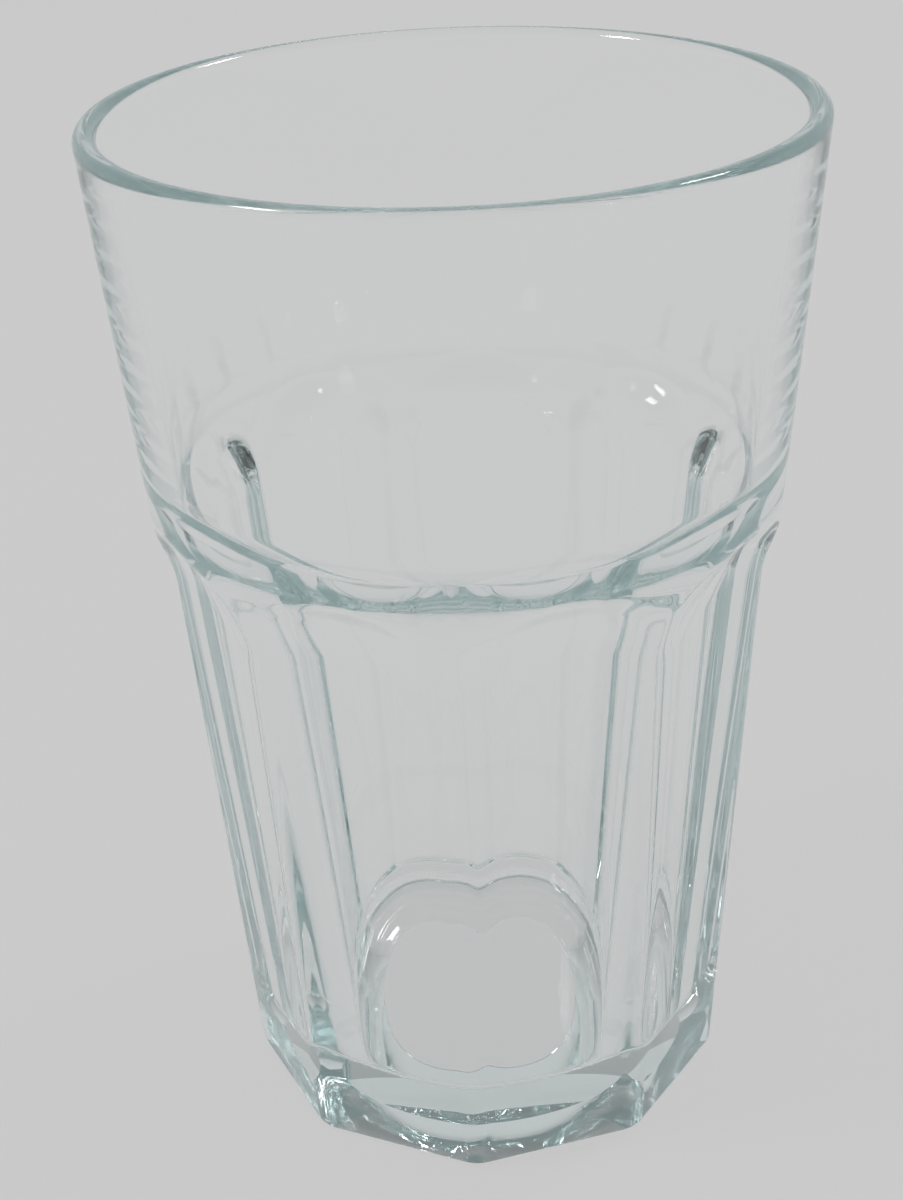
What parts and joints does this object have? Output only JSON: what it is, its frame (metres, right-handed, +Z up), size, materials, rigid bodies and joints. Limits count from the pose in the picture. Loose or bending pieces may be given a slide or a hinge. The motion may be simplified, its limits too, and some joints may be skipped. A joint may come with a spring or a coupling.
{
  "type": "glass tumbler",
  "caption": "Heavy pressed-glass tumbler: plain conical band above, flat panels with arched tops below, thick faceted base, round inside with a sloping step under the band.",
  "frame": {"origin": "centre of the resting face, on the surface that the glass stands on", "axes": "+Z up along the glass's axis; a corner between two panels faces -Y"},
  "size_m": [0.0858, 0.0858, 0.129],
  "materials": {
    "pressed_glass": "clear soda-lime glass, fire-polished, faint blue-green where it is thick"
  },
  "bodies": {
    "root": {"tumbler": "pressed_glass"}
  },
  "joints": []
}
